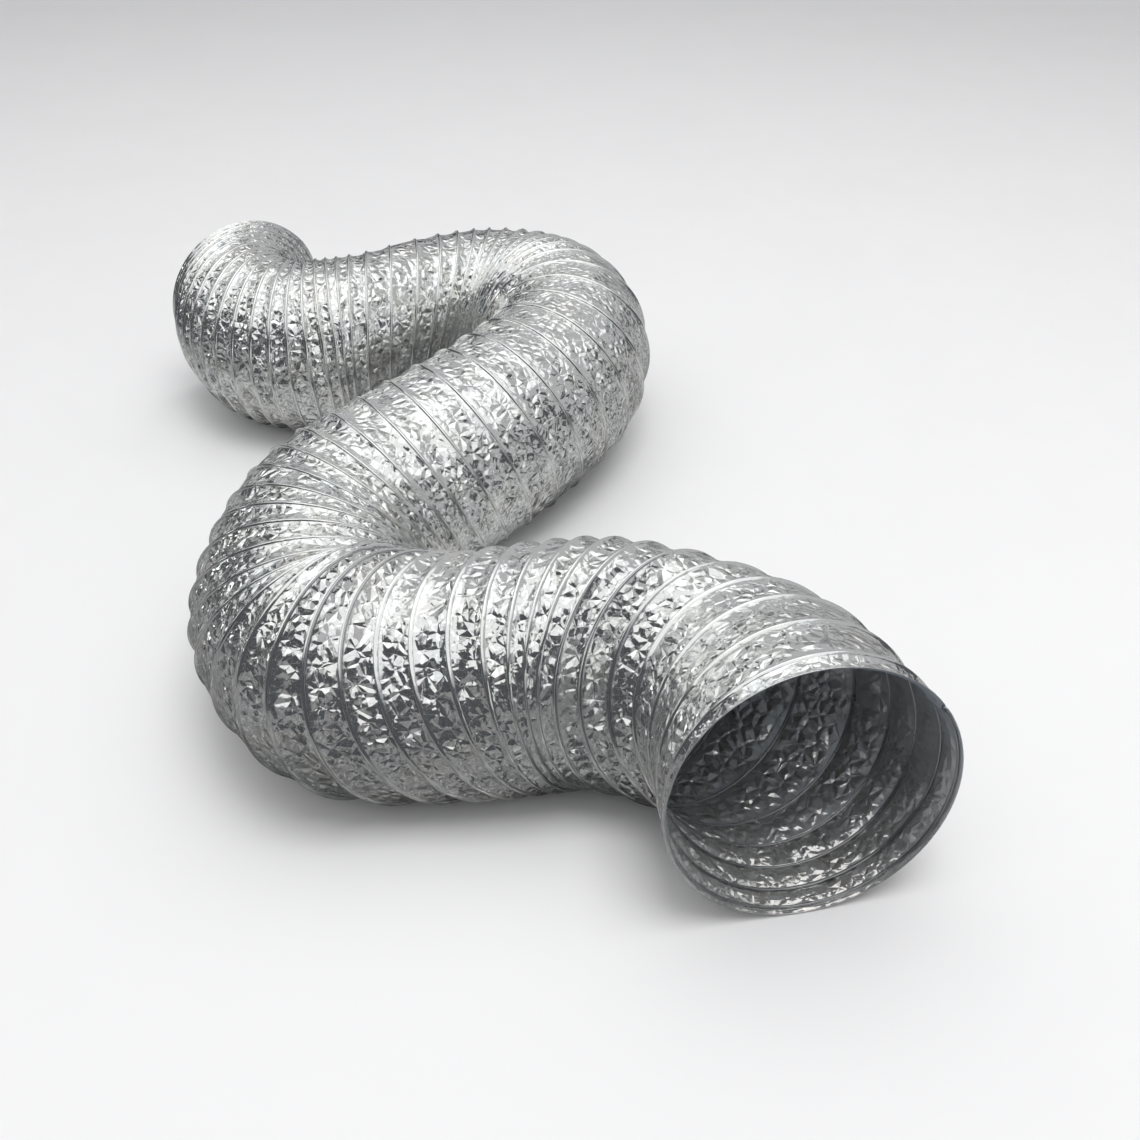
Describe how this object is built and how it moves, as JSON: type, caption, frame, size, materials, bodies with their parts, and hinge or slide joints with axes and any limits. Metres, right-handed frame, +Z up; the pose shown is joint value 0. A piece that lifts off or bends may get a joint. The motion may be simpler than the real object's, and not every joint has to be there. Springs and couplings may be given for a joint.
{
  "type": "flexible duct",
  "caption": "Flexible round duct of crinkled aluminium foil on a coil of spring wire, lying on the floor in three loose bends, open at both ends.",
  "frame": {"origin": "middle of the duct's bounding box, at the floor", "axes": "+Z up from the floor; +Y from the near mouth's side to the far mouth's side, along the longest extent; +X to the right as seen from the near mouth's side"},
  "size_m": [0.3976, 0.5088, 0.1098],
  "materials": {
    "foil": "bright crinkled foil",
    "spring_wire": "drawn spring wire"
  },
  "bodies": {
    "root": {"foil_tube": "foil", "wire_helix": "spring_wire"}
  },
  "joints": []
}
